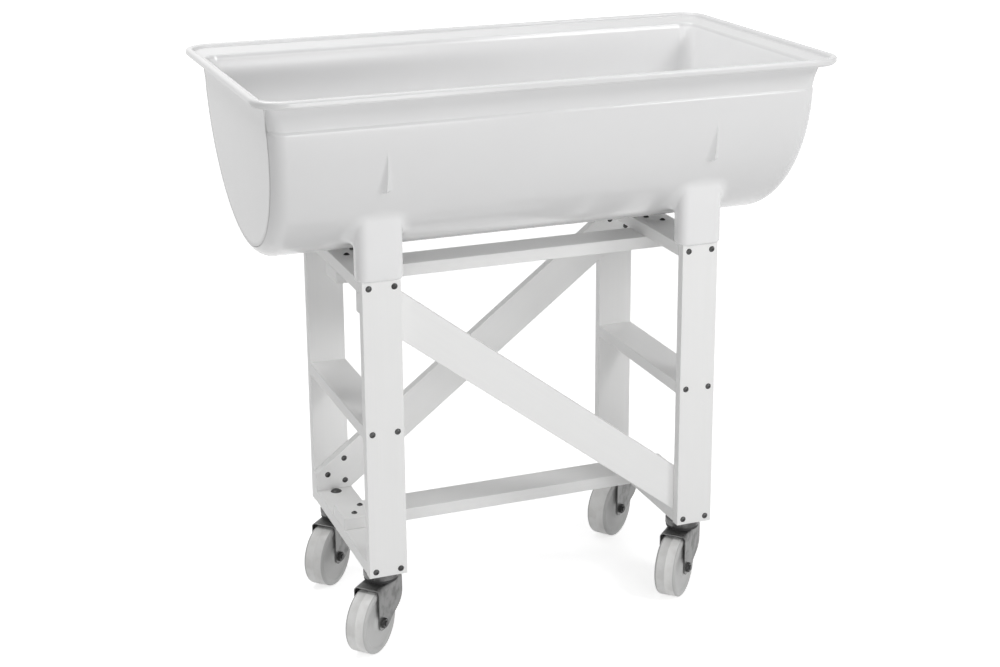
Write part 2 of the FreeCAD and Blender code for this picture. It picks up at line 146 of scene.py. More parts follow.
class ShaderGraph:
    """The nodes of one material, or of the surround."""

    def __init__(self, owner: Union[Material, World]) -> None:
        """Starts an empty graph.

        Args:
            owner: The material or the world that holds the nodes.
        """
        owner.use_nodes = True
        self.owner = owner
        self.tree = owner.node_tree
        self.tree.nodes.clear()

    @classmethod
    def material(cls, name: str) -> "ShaderGraph":
        """Returns the graph of a new material."""
        return cls(bpy.data.materials.new(name))

    def node(
        self,
        kind: str,
        settings: Optional[Dict[str, object]] = None,
        inputs: Optional[Dict[Union[str, int], object]] = None,
        output: Union[str, int] = 0,
    ) -> Wire:
        """Adds one node.

        Args:
            kind: The node's type.
            settings: What is set on the node itself, before its sockets.
            inputs: A number, a colour or a wire for each socket.
            output: The socket that the wire leaves from.

        Returns:
            A wire from that socket.
        """
        made = self.tree.nodes.new(kind)
        for name, value in (settings or {}).items():
            setattr(made, name, value)
        for key, value in (inputs or {}).items():
            if isinstance(value, Wire):
                self.tree.links.new(value.socket, made.inputs[key])
            else:
                made.inputs[key].default_value = value
        return Wire(self, made.outputs[output])

    def place(self) -> Wire:
        """Returns the place on the piece."""
        return self.node("ShaderNodeTexCoord", output="Object")

    def turned(self, place: Wire, rotation: Sequence[float]) -> Wire:
        """Returns a place turned about the axes, in radians."""
        return self.node("ShaderNodeMapping", {}, {"Vector": place, "Rotation": rotation})

    def stretched(self, place: Wire, scale: Sequence[float]) -> Wire:
        """Returns a place scaled along the axes."""
        return self.node("ShaderNodeMapping", {}, {"Vector": place, "Scale": scale})

    def noise(self, vector: Wire, scale: float, detail: float = 3.0, roughness: float = 0.5) -> Wire:
        """Returns noise from 0 to 1 with that many waves in a metre."""
        sockets = {"Vector": vector, "Scale": scale, "Detail": detail, "Roughness": roughness}
        return self.node("ShaderNodeTexNoise", {}, sockets)

    def blend(self, share: Number, first: Union[Colour, Wire], second: Union[Colour, Wire]) -> Wire:
        """Returns a colour between two others."""
        ends = [end if isinstance(end, Wire) else (*end, 1.0) for end in (first, second)]
        return self.node("ShaderNodeMix", {"data_type": "RGBA"}, {0: share, 6: ends[0], 7: ends[1]}, output=2)

    def bump(self, height: Wire) -> Wire:
        """Returns the normal of a surface raised by a height in metres."""
        return self.node("ShaderNodeBump", {}, {"Height": height, "Distance": 1.0, "Strength": 1.0})

    def surface(self, **sockets: object) -> Material:
        """Ends the material with a principled shader, its sockets named with underscores for spaces."""
        named = {name.replace("_", " "): value for name, value in sockets.items()}
        return self.finish(self.node("ShaderNodeBsdfPrincipled", {}, named))

    def finish(self, shader: Wire, kind: str = "Material") -> Union[Material, World]:
        """Ends the graph with a shader.

        Args:
            shader: The shader.
            kind: Material or World.

        Returns:
            The graph's owner.
        """
        end = self.tree.nodes.new("ShaderNodeOutput" + kind)
        self.tree.links.new(shader.socket, end.inputs["Surface"])
        return self.owner


def shade(colour: Colour, share: float) -> Colour:
    """Returns a colour made lighter or darker."""
    return tuple(min(1.0, part * share) for part in colour)


@dataclass(frozen=True)
class EndEdgeShade:
    """Painted shade: a dark line round each end wall's flat face, where it turns into the rounding."""

    foot: float
    lean: float
    axis_height: float
    reach: float
    top: float
    width: float = 0.012
    sharp: float = 0.002
    skin: float = 0.004

    def shadow(self, place: Wire) -> Wire:
        """Returns 1 on the edge, fading to 0 across the flat face and soon beyond it.

        Args:
            place: The place on the piece.

        Returns:
            The share of painted shade.
        """
        along, across, up = place.parts()
        drop = (up - self.axis_height).lowest(0.0)
        reach = (across * across + drop * drop) ** 0.5
        shaded_in = reach.spread(self.reach - self.width, self.reach)
        gone = reach.spread(self.reach, self.reach + self.sharp)
        outside = along.magnitude() - up * self.lean - self.foot
        under = 1.0 - up.spread(self.top - self.skin, self.top)
        return shaded_in * (1.0 - gone) * under * outside.spread(-self.skin, -self.skin / 2)


@dataclass(frozen=True)
class InnerWallShade:
    """Painted shade: a soft grey band inside the basin under the crease, strongest at the left end."""

    height: float = 1.047
    rise: float = 0.060
    fall: float = 0.030
    start: float = -0.45
    end: float = 0.40

    def shadow(self, place: Wire) -> Wire:
        """Returns how strong the painted shade is.

        Args:
            place: The place on the piece.

        Returns:
            The share of grey, from 0 to 1.
        """
        along, _, up = place.parts()
        risen = up.spread(self.height - self.rise, self.height)
        fallen = 1.0 - up.spread(self.height, self.height + self.fall)
        return risen * fallen * (1.0 - along.spread(self.start, self.end))


@dataclass(frozen=True)
class MouldedPlastic:
    """Moulded polyethylene: glossy, with faint clouds, fine peel and rub marks; painted paler as painted light
    where marked, with painted shade at the end walls' edges and inside under the crease.
    """

    # Painted shade along the edges of the end walls' flat faces.
    edge: EndEdgeShade
    # Painted shade inside the basin under the crease.
    line: InnerWallShade = InnerWallShade()
    base: Colour = (0.785, 0.785, 0.787)
    # Painted light: this paler tone on the inner face and the boots stands in for the brighter light they
    # catch.
    pale: Colour = (0.885, 0.885, 0.887)
    # How dark the painted shade along the end walls' edges is.
    edge_shade_depth: float = 0.32
    # How dark the painted shade inside the basin is.
    inner_shade_depth: float = 0.20
    roughness: float = 0.17
    rub_roughness: float = 0.015
    cloud_roughness: float = 0.01
    specular: float = 0.5
    cloud_scale: float = 7.0
    cloud_range: Pair = (0.3, 0.7)
    cloud_depth: float = 0.012
    peel_scale: float = 260.0
    peel_height: float = 0.00002
    wave_scale: float = 9.0
    wave_height: float = 0.00012
    rub_scale: float = 22.0
    rub_range: Pair = (0.3, 0.8)
    rub_stretch: float = 0.4

    def build(self) -> Material:
        """Builds the finish.

        Returns:
            The material.
        """
        graph = ShaderGraph.material("moulded_plastic")
        place = graph.place()
        clouds = graph.noise(place, self.cloud_scale)
        rubs = graph.noise(graph.stretched(place, (self.rub_stretch, 1.0, 1.0)), self.rub_scale, detail=5.0)
        pale = graph.node("ShaderNodeAttribute", {"attribute_name": PAINTED_LIGHT_MARK}, output="Fac")
        clear = 1 - self.cloud_depth
        # Painted light: the marked faces take the paler tone, clouds and all.
        skin = graph.blend(pale, self.base, self.pale)
        cloudy = graph.blend(pale, shade(self.base, clear), shade(self.pale, clear))
        plain = graph.blend(clouds.spread(*self.cloud_range), cloudy, skin)
        # Painted shade: a grey band inside the basin under the crease, on the inner face only.
        line = self.line.shadow(place) * pale
        inner_shaded = graph.blend(line, plain, shade(self.pale, 1 - self.inner_shade_depth))
        # Painted shade: a dark line along the edge of each end wall's flat face.
        colour = graph.blend(self.edge.shadow(place), inner_shaded, shade(self.base, 1 - self.edge_shade_depth))
        peel = graph.noise(place, self.peel_scale, detail=2.0)
        wave = graph.noise(place, self.wave_scale, detail=1.0)
        rubbed = rubs.spread(*self.rub_range) * self.rub_roughness
        return graph.surface(
            Base_Color=colour,
            Roughness=self.roughness + rubbed + clouds * self.cloud_roughness,
            Normal=graph.bump(peel * self.peel_height + wave * self.wave_height),
            Specular_IOR_Level=self.specular,
        )


@dataclass(frozen=True)
class PlanedBoard:
    """Planed polyethylene board: satin, with fine marks along it and a few scratches."""

    axis: Axis
    tilt: float = 0.0
    base: Colour = (0.90, 0.90, 0.895)
    refraction: float = 1.5
    roughness: float = 0.42
    mark_roughness: float = 0.08
    scratch_roughness: float = 0.06
    mark_scale: float = 240.0
    mark_range: Pair = (0.35, 0.65)
    mark_stretch: float = 0.02
    mark_depth: float = 0.015
    mark_share: float = 0.6
    mark_height: float = 0.00002
    scratch_scale: float = 90.0
    scratch_range: Pair = (0.62, 0.66)
    scratch_slant: Tuple[float, float, float] = (0.2, 0.15, 0.1)
    scratch_depth: float = 0.6
    cloud_scale: float = 11.0
    cloud_range: Pair = (0.3, 0.7)

    def build(self) -> Material:
        """Builds the finish.

        Returns:
            The material.
        """
        ending = "_slanted" if self.tilt else ""
        graph = ShaderGraph.material("planed_board_" + self.axis.name.lower() + ending)
        stretch = [1.0, 1.0, 1.0]
        stretch[self.axis.value] = self.mark_stretch
        place = graph.place()
        along = graph.stretched(graph.turned(place, (0.0, self.tilt, 0.0)), stretch)
        marks = graph.noise(along, self.mark_scale, detail=4.0)
        clouds = graph.noise(place, self.cloud_scale).spread(*self.cloud_range)
        slanted = graph.turned(along, self.scratch_slant)
        scratches = graph.noise(slanted, self.scratch_scale, detail=8.0, roughness=0.7)
        scratches = scratches.spread(*self.scratch_range)
        tone = marks.spread(*self.mark_range) * self.mark_share + clouds * (1 - self.mark_share)
        height = marks * self.mark_height - scratches * (self.mark_height * self.scratch_depth)
        return graph.surface(
            Base_Color=graph.blend(tone, shade(self.base, 1 - self.mark_depth), self.base),
            Roughness=self.roughness + marks * self.mark_roughness - scratches * self.scratch_roughness,
            Normal=graph.bump(height),
            IOR=self.refraction,
        )


@dataclass(frozen=True)
class TurnedNylon:
    """Turned nylon wheel: fine rings from the lathe, painted shade on the sides and a little floor dust on the
    tread.
    """

    name: str
    centre: Tuple[float, float, float]
    heading: float
    radius: float
    half_width: float
    base: Colour = (0.85, 0.85, 0.84)
    dust: Colour = (0.70, 0.69, 0.675)
    # Painted shade: the sides are drawn darker, standing in for the fork's shadow and the light that does not
    # reach them.
    side: Colour = (0.54, 0.54, 0.535)
    refraction: float = 1.53
    roughness: float = 0.36
    dust_roughness: float = 0.2
    grain_roughness: float = 0.06
    grain_scale: float = 45.0
    grain_share: float = 0.08
    dust_range: Pair = (0.35, 0.7)
    dust_share: float = 0.5
    ring_pitch: float = 0.0011
    ring_height: float = 0.00002
    dust_width: float = 0.004
    side_shade_start: float = 0.0055
    side_shade_end: float = 0.0040

    def build(self) -> Material:
        """Builds the finish.

        Returns:
            The material.
        """
        graph = ShaderGraph.material(self.name)
        sockets = {"Vector": graph.place(), "Location": self.centre, "Rotation": (0.0, 0.0, self.heading)}
        local = graph.node("ShaderNodeMapping", {"vector_type": "TEXTURE"}, sockets)
        along, across, up = local.parts()
        reach = (along * along + up * up) ** 0.5
        rings = (reach * (2 * math.pi / self.ring_pitch)).sine()
        grain = graph.noise(local, self.grain_scale, detail=5.0)
        worn = reach.spread(self.radius - self.dust_width, self.radius) * grain.spread(*self.dust_range)
        # Painted shade on the wheel's sides, away from the tread.
        away = across.magnitude().spread(self.half_width - self.side_shade_start, self.half_width - self.side_shade_end)
        tread = graph.blend(worn * self.dust_share + grain * self.grain_share, self.base, self.dust)
        return graph.surface(
            Base_Color=graph.blend(away, tread, self.side),
            Roughness=self.roughness + worn * self.dust_roughness + grain * self.grain_roughness,
            Normal=graph.bump((rings + grain) * self.ring_height),
            IOR=self.refraction,
        )


@dataclass(frozen=True)
class Steel:
    """Stainless steel with rolling marks, faint stains and dull patches."""

    name: str
    base: Colour
    stain: Colour
    roughness: float = 0.34
    stretch: float = 0.05
    stain_roughness: float = 0.12
    grain_roughness: float = 0.1
    stain_share: float = 0.7
    grain_share: float = 0.2
    stain_scale: float = 55.0
    stain_range: Pair = (0.42, 0.68)
    grain_scale: float = 700.0
    grain_height: float = 0.00002

    def build(self) -> Material:
        """Builds the finish.

        Returns:
            The material.
        """
        graph = ShaderGraph.material(self.name)
        place = graph.place()
        grain = graph.noise(graph.stretched(place, (1.0, 1.0, self.stretch)), self.grain_scale, detail=4.0)
        patches = graph.noise(place, self.stain_scale, detail=5.0).spread(*self.stain_range)
        stained = patches * self.stain_share + grain * self.grain_share
        return graph.surface(
            Base_Color=graph.blend(stained, self.base, self.stain),
            Roughness=self.roughness + patches * self.stain_roughness + grain * self.grain_roughness,
            Normal=graph.bump(grain * self.grain_height),
            Metallic=1.0,
        )


@dataclass(frozen=True)
class SealRubber:
    """Black sealing rubber, dull with fine grain."""

    base: Colour = (0.022, 0.022, 0.023)
    grey: Colour = (0.05, 0.05, 0.05)
    roughness: float = 0.62
    grain_roughness: float = 0.12
    grain_scale: float = 900.0
    grain_range: Pair = (0.4, 0.7)
    grain_height: float = 0.00003

    def build(self) -> Material:
        """Builds the finish.

        Returns:
            The material.
        """
        graph = ShaderGraph.material("seal_rubber")
        grain = graph.noise(graph.place(), self.grain_scale)
        return graph.surface(
            Base_Color=graph.blend(grain.spread(*self.grain_range), self.base, self.grey),
            Roughness=self.roughness + grain * self.grain_roughness,
            Normal=graph.bump(grain * self.grain_height),
        )


def new_mesh_object(name: str, work: BMesh, material: Material) -> Object:
    """Makes an object of a finished bmesh.

    Args:
        name: The object's name.
        work: The bmesh, which is freed.
        material: The object's finish.

    Returns:
        The object, linked to the scene.
    """
    mesh = bpy.data.meshes.new(name)
    work.to_mesh(mesh)
    work.free()
    mesh.materials.append(material)
    made = bpy.data.objects.new(name, mesh)
    bpy.context.scene.collection.objects.link(made)
    logger.info("%s: %d faces in %s", name, len(mesh.polygons), material.name)
    return made


def dress(node: str, material: Material) -> None:
    """Gives a carried-over piece its finish.

    Args:
        node: The piece's node.
        material: The finish.
    """
    mesh = frame["nodes"][node].data
    mesh.materials.clear()
    mesh.materials.append(material)
    logger.info("%s: %s", node, material.name)


def shade_by_angle(work: BMesh, degrees: float) -> None:
    """Smooths a bmesh, apart from edges that turn by more than an angle.

    Args:
        work: The bmesh.
        degrees: The angle.
    """
    limit = math.radians(degrees)
    for face in work.faces:
        face.smooth = True
    for edge in work.edges:
        edge.smooth = len(edge.link_faces) == 2 and edge.calc_face_angle(0.0) < limit


def turns(*degrees: float) -> List[float]:
    """Returns some turns in radians."""
    return [math.radians(turn) for turn in degrees]


def arc(radius: float, degrees: Sequence[float] = QUARTER) -> List[Pair]:
    """Returns, for each turn of a rounding, what its cosine and its sine leave of the radius."""
    return [(radius * (1 - math.cos(turn)), radius * (1 - math.sin(turn))) for turn in turns(*degrees)]


class Sleeve:
    """A closed line of vertices in a bmesh that is extruded again and again into a surface."""

    def __init__(self, work: BMesh, line: Sequence[BMVert]) -> None:
        """Starts from a closed line whose edges exist."""
        self.work = work
        self.line = list(line)

    @classmethod
    def circle(cls, work: BMesh, places: Sequence[Vector]) -> "Sleeve":
        """Starts from a new closed line.

        Args:
            work: The bmesh.
            places: The places of the line, seen from above against the clock.

        Returns:
            The sleeve.
        """
        line = bmesh.ops.create_circle(work, segments=len(places), radius=1.0)["verts"]
        line.sort(key=lambda vert: math.atan2(vert.co.y, vert.co.x) % (2 * math.pi))
        for vert, place in zip(line, places):
            vert.co = place
        return cls(work, line)

    def edges(self) -> List[BMEdge]:
        """Returns the line's edges."""
        return [self.work.edges.get(pair) for pair in zip(self.line, self.line[1:] + self.line[:1])]

    def advance(self, places: Sequence[Vector]) -> None:
        """Extrudes the line to new places.

        Args:
            places: The new place of each vertex.
        """
        made = bmesh.ops.extrude_edge_only(self.work, edges=self.edges())["geom"]
        fresh = {part for part in made if isinstance(part, BMVert)}
        following = []
        for vert in self.line:
            ends = (edge.other_vert(vert) for edge in vert.link_edges)
            following.append(next(end for end in ends if end in fresh))
        for vert, place in zip(following, places):
            vert.co = place
        self.line = following

    def close(self) -> None:
        """Caps the line with one face."""
        bmesh.ops.contextual_create(self.work, geom=self.edges())


@dataclass
class Ring:
    """One level line round the trough."""

    half_width: float
    height: float
    end: Callable[[float], float]
    corner: float
    normal: Pair = (1.0, 0.0)
    turn: float = 90.0
    finned: bool = False


@dataclass
class Fin:
    """The pointed ridge above each boot: it widens and rises from its tip to its foot."""

    middle: float
    tip: float = 0.998
    foot: float = 0.924
    half_width: float = 0.014
    reach: float = 0.0095
    underside: float = 0.007
    sharpness: float = 1.35

    def push(self, x: float, height: float) -> float:
        """Returns how far the fins stand out of the wall.

        Args:
            x: The place along the trough.
            height: The height of the place.

        Returns:
            The distance out of the wall.
        """
        length = self.tip - self.foot
        drop = (self.tip - height) / length
        if drop <= 0:
            return 0.0
        grown = min(drop, 1.0)
        left = max(0.0, 1.0 - max(0.0, drop - 1.0) * length / self.underside)
        across = max(0.0, 1.0 - abs(abs(x) - self.middle) / (self.half_width * grown))
        return self.reach * grown * across ** self.sharpness * left * left * (3 - 2 * left)


@dataclass
class Plan:
    """A rounded rectangle seen from above."""

    middle: Vector
    half: Vector
    rounding: float = 0.0

    def nearest(self, place: Vector) -> Vector:
        """Returns the point of the outline nearest to a place just outside or on its box.

        Args:
            place: The place.

        Returns:
            The point.
        """
        core = self.half - Vector((self.rounding, self.rounding))
        away = place - self.middle
        held = Vector((max(-core.x, min(core.x, away.x)), max(-core.y, min(core.y, away.y))))
        return self.middle + held + (away - held).normalized() * self.rounding

    def carried(self, place: Vector, other: "Plan", share: float = 1.0) -> Vector:
        """Returns where a place on this rectangle comes on another one.

        Args:
            place: The place.
            other: The other rectangle.
            share: How much further out than its match the place comes.

        Returns:
            The place on the other rectangle.
        """
        away = place - self.middle
        x = away.x / self.half.x * other.half.x
        y = away.y / self.half.y * other.half.y
        return other.middle + Vector((x, y)) * share


@dataclass
class Boot:
    """One moulded boot: it grows out of an opening in the half-round wall and holds a leg's top."""

    side: int
    end: int
    wall_radius: float
    wall_centre: float
    x: float = 0.3225
    half_length: float = 0.044
    front: float = 0.2135
    back: float = 0.1665
    rounding: float = 0.018
    foot_rounding: float = 0.006
    foot: float = 0.744
    overshoot: float = 1.02
    front_blend: float = 0.011
    back_blend: float = 0.050
    blend_bias: float = 0.8
    deepest_blend: float = 0.030
    widest_share: float = 0.97
    wall_shares: Tuple[float, ...] = (0.7, 0.35, 0.0)
    blend_turns: Tuple[float, ...] = (12, 24, 36, 48, 60, 72, 81, 90)
    neck_shares: Tuple[float, ...] = (0.4, 0.75)
    foot_turns: Tuple[float, ...] = tuple(range(0, 91, 18))
    # How far the boot is painted paler as painted light.
    painted_light_share: float = 0.9
    leg_half_width: float = 0.0375
    leg_outer: float = 0.2065
    leg_inner: float = 0.1865
    leg_top: float = 0.829
    leg_gap: float = 0.00015
    leg_rounding: float = 0.0015

    def __post_init__(self) -> None:
        """Works out the plans of the boot and of the pocket for the leg."""
        half = Vector((self.half_length, (self.front - self.back) / 2))
        self.plan = Plan(self.place(self.front, self.back), half, self.rounding)
        room = Vector((self.leg_half_width, (self.leg_outer - self.leg_inner) / 2))
        room += Vector((self.leg_gap, self.leg_gap))
        self.pocket = Plan(self.place(self.leg_outer, self.leg_inner), room, self.leg_rounding)

    def place(self, front: float, back: float) -> Vector:
        """Returns the middle between two distances from the trough's middle line."""
        return Vector((self.side * self.x, self.end * (front + back) / 2))

    def wall_height(self, y: float) -> float:
        """Returns the height of the half-round wall at a distance from its middle."""
        return self.wall_centre - math.sqrt(self.wall_radius ** 2 - y ** 2)

    def blend_at(self, target: Vector) -> float:
        """Returns the reach of the blend into the wall at a point of the outline, wider at its back."""
        share = max(0.0, self.end * (target.y - self.plan.middle.y) / self.plan.half.y + 1) / 2
        return self.back_blend + (self.front_blend - self.back_blend) * share ** self.blend_bias

    def draw(self, sleeve: Sleeve, opening: Plan) -> None:
        """Draws the boot down from the opening's edge, then the pocket that receives the leg's top.

        Args:
            sleeve: The opening's edge.
            opening: The opening's plan.
        """
        mark = sleeve.work.verts.layers.float[PAINTED_LIGHT_MARK]
        starts = [vert.co.xy for vert in sleeve.line]
        targets = [self.plan.nearest(opening.carried(start, self.plan, self.overshoot)) for start in starts]
        blends = [self.blend_at(target) for target in targets]
        rows = [
            (start, target, blend, min(self.widest_share, blend / (start - target).length))
            for start, target, blend in zip(starts, targets, blends)
        ]
        for out in self.wall_shares:
            points = [target.lerp(start, share + (1 - share) * out) for start, target, _, share in rows]
            sleeve.advance([Vector((*point, self.wall_height(point.y))) for point in points])
        tops = []
        for fall, less in arc(1.0, self.blend_turns):
            tops = []
            for start, target, blend, share in rows:
                point = target.lerp(start, share * less)
                height = self.wall_height(point.y) - min(blend, self.deepest_blend) * fall
                tops.append(Vector((*point, height)))
            sleeve.advance(tops)
            # Painted light: the boot is painted paler further down its blend.
            for vert in sleeve.line:
                vert[mark] = self.painted_light_share * (1 - less) ** 2
        edge = self.foot + self.foot_rounding
        for share in self.neck_shares:
            sleeve.advance([Vector((top.x, top.y, top.z + (edge - top.z) * share)) for top in tops])
        for inset, rise in arc(self.foot_rounding, self.foot_turns):
            smaller = Plan(self.plan.middle, self.plan.half - Vector((inset, inset)))
            points = [self.plan.carried(target, smaller) for target in targets]
            sleeve.advance([Vector((*point, self.foot + rise)) for point in points])
        outline = [self.pocket.nearest(self.plan.carried(target, self.pocket)) for target in targets]
        for height in (self.foot, self.leg_top + self.leg_gap):
            sleeve.advance([Vector((*point, height)) for point in outline])
        sleeve.close()


@dataclass
class Trough:
    """The moulded basin with its flange, bead, boots and fins."""

    corner: Vector
    rim_corner: float = 0.058
    bead_width: float = 0.013
    bead_rounding: float = 0.005
    bead_foot: float = 0.0085
    flange_edge: float = 0.0115
    flange_inset: float = 0.004
    flange_thickness: float = 0.006
    flange_fall: float = 0.006
    edge_ease: float = 0.0012
    edge_bevel: float = 0.001
    edge_lip: float = 0.0006
    edge_nick: float = 0.0004
    mouth_rounding: float = 0.007
    wall: float = 0.006
    side_flange: float = 0.045
    end_flange: float = 0.029
    straight_wall: float = 0.079
    crease_depth: float = 0.063
    side_flare: float = 0.006
    shoulder: float = 0.009
    shoulder_foot: float = 0.003
    shoulder_turn: float = 40.0
    shoulder_steps: int = 5
    under_fillet: float = 0.004
    end_draft: float = 0.020
    end_rounding: float = 0.032
    top_end_rounding: float = 0.012
    inner_rounding: float = 0.030
    end_turn: float = 68.0
    groove_depth: float = 0.0012
    groove_width: float = 0.003
    boot_x: float = 0.3225
    boot_opening: float = 0.100
    boot_turn: float = 22.0
    boot_turn_step: float = 2.0
    boot_rows: int = 20
    floor_turns: Tuple[float, ...] = (0.0, 3.0, 6.0, 10.0, 14.0, 18.0)
    fin_turns: Tuple[float, ...] = (63.2, 64.2, 64.9, 65.5, 66.0, 66.5, 67.2, 68.2)
    ridge_turn: float = 69.5
    ridge_turn_step: float = 1.5
    ridge_rows: int = 12
    last_turns: Tuple[float, ...] = (88.0, 90.0)
    upright_shares: Tuple[float, ...] = (0.2, 0.4)
    band_shares: Tuple[float, ...] = (0.08, 0.18, 0.3, 0.42, 0.55, 0.68, 0.8, 0.9, 1.0)
    column_shares: Tuple[float, ...] = (0.0, 0.3, 0.6, 0.85)
    fin_column_step: float = 0.0016
    fin_columns: int = 11
    boot_columns: int = 10
    corner_steps: int = 10
    end_steps: int = 14
    crease_angle: float = 30.0

    def __post_init__(self) -> None:
        """Works out what follows from the sizes."""
        self.half_length, self.half_width, self.top = self.corner
        self.radius = self.half_width - self.side_flange - self.side_flare
        self.centre = self.top - self.straight_wall
        self.bottom = self.centre - self.radius
        self.flange_under = self.top - self.bead_foot - self.flange_thickness
        self.crease = self.top - self.crease_depth
        self.lean = self.end_draft / (self.flange_under - self.bottom)
        self.fin = Fin(self.boot_x)
        near = self.boot_x - self.boot_opening
        fine = [self.fin_column_step * step for step in range(-self.fin_columns, self.fin_columns + 1)]
        steps = range(-self.boot_columns, self.boot_columns + 1)
        coarse = [self.boot_opening * step / self.boot_columns for step in steps if abs(step) > 1]
        offsets = sorted(fine + coarse)
        self.boot_steps = len(offsets) - 1
        half = [near * share for share in self.column_shares] + [self.boot_x + offset for offset in offsets]
        self.columns = [-x for x in reversed(half[1:])] + half

    def end_edge_shade(self) -> EndEdgeShade:
        """Returns the painted shade along the edge of the end wall's flat face."""
        inset = self.end_rounding * (1 - math.cos(math.radians(self.end_turn)))
        return EndEdgeShade(self.end_at(0.0), self.lean, self.centre, self.radius - inset, self.flange_under)

    def end_at(self, height: float) -> float:
        """Returns the outer face of the end wall at a height."""
        return self.half_length - self.end_flange - self.lean * (self.flange_under - height)

    def inner_end_at(self, height: float) -> float:
        """Returns the inner face of the end wall at a height."""
        return self.end_at(height) - self.wall * math.hypot(1.0, self.lean)

    def corner_places(self, ring: Ring) -> List[Vector]:
        """Returns the places round one corner, from the side wall to the end wall.

        Args:
            ring: The ring.

        Returns:
            The places.
        """
        places = []
        last = math.radians(ring.turn)
        for step in range(self.corner_steps + 1):
            turn = last * step / self.corner_steps
            inset = ring.corner * (1 - math.cos(turn))
            height = ring.height - ring.normal[1] * inset
            along = ring.end(height) - ring.corner * (math.sin(last) - math.sin(turn))
            places.append(Vector((along, max(0.0, ring.half_width - ring.normal[0] * inset), height)))
        return places

    def ring_places(self, ring: Ring) -> List[Vector]:
        """Returns the places of one ring, seen from above against the clock from the front left.

        Args:
            ring: The ring.

        Returns:
            The places.
        """
        corner = self.corner_places(ring)
        start, last = corner[0], corner[-1]
        run = min(self.groove_width, last.y / 4)
        depth = self.groove_depth * run / self.groove_width if ring.turn < 90 else 0.0
        flat = [(last.y - run) * (1 - 2 * step / self.end_steps) for step in range(self.end_steps + 1)]
        groove = [Vector((last.x - depth, sign * (last.y - run / 2), last.z)) for sign in (1, -1)]
        end = groove[:1] + [Vector((last.x, y, last.z)) for y in flat] + groove[1:]
        front = [Vector((x, -ring.half_width, ring.height)) for x in [-start.x] + self.columns + [start.x]]
        if ring.finned:
            out = Vector((0.0, -ring.normal[0], ring.normal[1]))
            front = [place + out * self.fin.push(place.x, place.z) for place in front]
        half = front + [Vector((place.x, -place.y, place.z)) for place in corner[1:] + end]
        half += list(reversed(corner[1:]))
        return half + [Vector((-place.x, -place.y, place.z)) for place in half]

    def arc_turns(self) -> List[float]:
        """Returns the turns of the half-round part's rings, close together at the boots and fins.

        Returns:
            The turns in degrees.
        """
        boots = [self.boot_turn + self.boot_turn_step * step for step in range(self.boot_rows + 1)]
        ridge = [self.ridge_turn + self.ridge_turn_step * step for step in range(self.ridge_rows)]
        return [*self.floor_turns, *boots, *self.fin_turns, *ridge, *self.last_turns]

    def face(self, inner: bool) -> Tuple[float, Callable[[float], float], float, float]:
        """Returns one face's radius, end wall, end rounding and how far that turns in degrees.

        Args:
            inner: Whether it is the inner face.

        Returns:
            The four values.
        """
        if inner:
            return self.radius - self.wall, self.inner_end_at, self.inner_rounding, 90.0
        return self.radius, self.end_at, self.end_rounding, self.end_turn

    def low_rings(self, inner: bool) -> List[Ring]:
        """Returns the rings of the half-round part, from the bottom line up.

        Args:
            inner: Whether they lie on the inner face.

        Returns:
            The rings.
        """
        radius, end, corner, bend = self.face(inner)
        rings = []
        for turn in turns(*self.arc_turns()):
            out, down = math.sin(turn), math.cos(turn)
            height = self.centre - radius * down
            rings.append(Ring(radius * out, height, end, corner, (out, -down), bend, not inner))
        return rings

    def shoulder_points(self) -> List[Pair]:
        """Returns the rounded shoulder under the crease.

        Returns:
            Its points, from below, as (distance inwards, height).
        """
        last = math.radians(self.shoulder_turn)
        low = self.crease - (self.shoulder + self.shoulder_foot) * math.sin(last)
        points = []
        for step in range(self.shoulder_steps + 1):
            turn = last * step / self.shoulder_steps
            points.append((self.shoulder * (1 - math.cos(turn)), low + self.shoulder * math.sin(turn)))
        inward = points[-1][0]
        for step in range(1, self.shoulder_steps):
            turn = last * (1 - step / (self.shoulder_steps - 1))
            more = self.shoulder_foot * (math.cos(turn) - math.cos(last))
            points.append((inward + more, self.crease - self.shoulder_foot * math.sin(turn)))
        return points

    def band_rings(self, inner: bool) -> List[Ring]:
        """Returns the rings above the half-round part: the upright wall, the shoulder and the leaning band.

        Args:
            inner: Whether they lie on the inner face.

        Returns:
            The rings.
        """
        radius, end, rounding, bend = self.face(inner)
        points = [(0.0, self.centre + (self.crease - self.centre) * share) for share in self.upright_shares]
        points += [] if inner else self.shoulder_points()
        rings = [Ring(radius - step_in, height, end, rounding, turn=bend) for step_in, height in points]
        step_in, foot = points[-1]
        top = self.flange_under - self.under_fillet
        for share in self.band_shares:
            corner = rounding if inner else rounding + (self.top_end_rounding - rounding) * share
            half_width = radius - step_in * (1 - share) + self.side_flare * share ** 2
            turn = bend + (90.0 - bend) * share
            rings.append(Ring(half_width, foot + (top - foot) * share, end, corner, turn=turn))
        return rings

    @staticmethod
    def flared(wall: float, corner: float, end: float, points: Sequence[Pair]) -> List[Ring]:
        """Returns upright rings outside a wall, one for each (distance, height)."""
        return [Ring(wall + out, high, lambda level, far=end + out: far, corner + out) for out, high in points]

